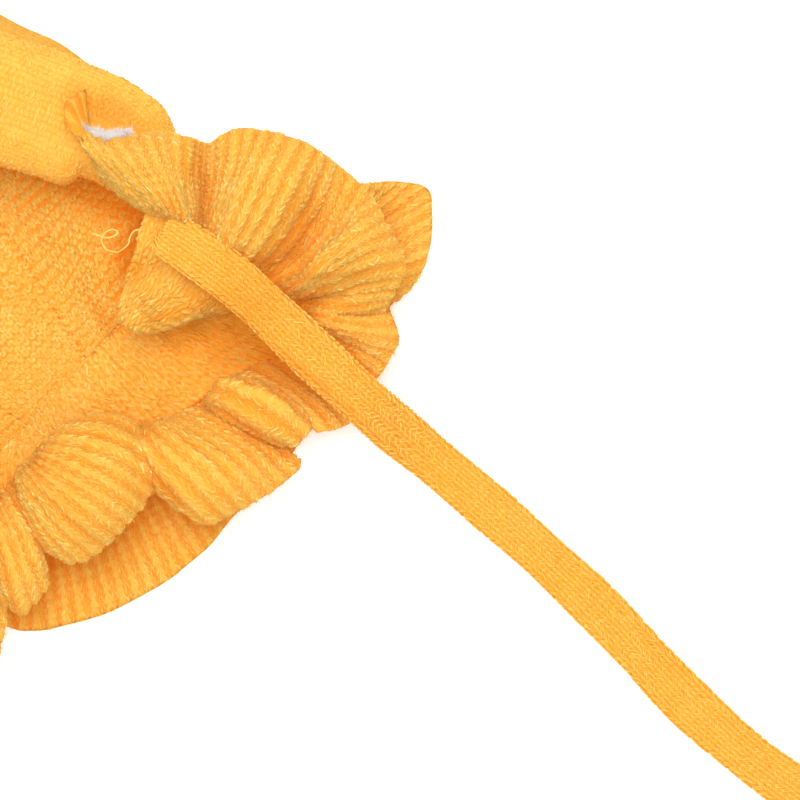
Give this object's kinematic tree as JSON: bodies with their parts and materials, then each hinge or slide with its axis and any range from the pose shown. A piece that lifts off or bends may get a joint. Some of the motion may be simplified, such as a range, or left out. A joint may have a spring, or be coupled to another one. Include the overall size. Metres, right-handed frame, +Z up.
{
  "type": "winter bonnet",
  "caption": "Child's knitted winter bonnet lying open on its back, with a soft face roll, a gathered double ruffle round the neck and two flat ties.",
  "frame": {"origin": "middle of the flattened back, on the surface that the bonnet lies on", "axes": "+Z up out of the face opening, +Y to the crown, -Y to the neck, +X to the side of the longer shown tie"},
  "size_m": [0.3113, 0.4338, 0.0606],
  "materials": {
    "knit": "matte, brushed",
    "fleece": "matte, fluffy"
  },
  "bodies": {
    "root": {"back_panel": "knit", "side_panel_right": "knit", "side_panel_left": "knit", "face_roll": "knit", "neck_band": "knit", "ruffle_upper": "knit", "ruffle_lower": "knit", "tie_right": "knit", "tie_left": "knit", "fleece_tuft": "fleece"}
  },
  "joints": []
}
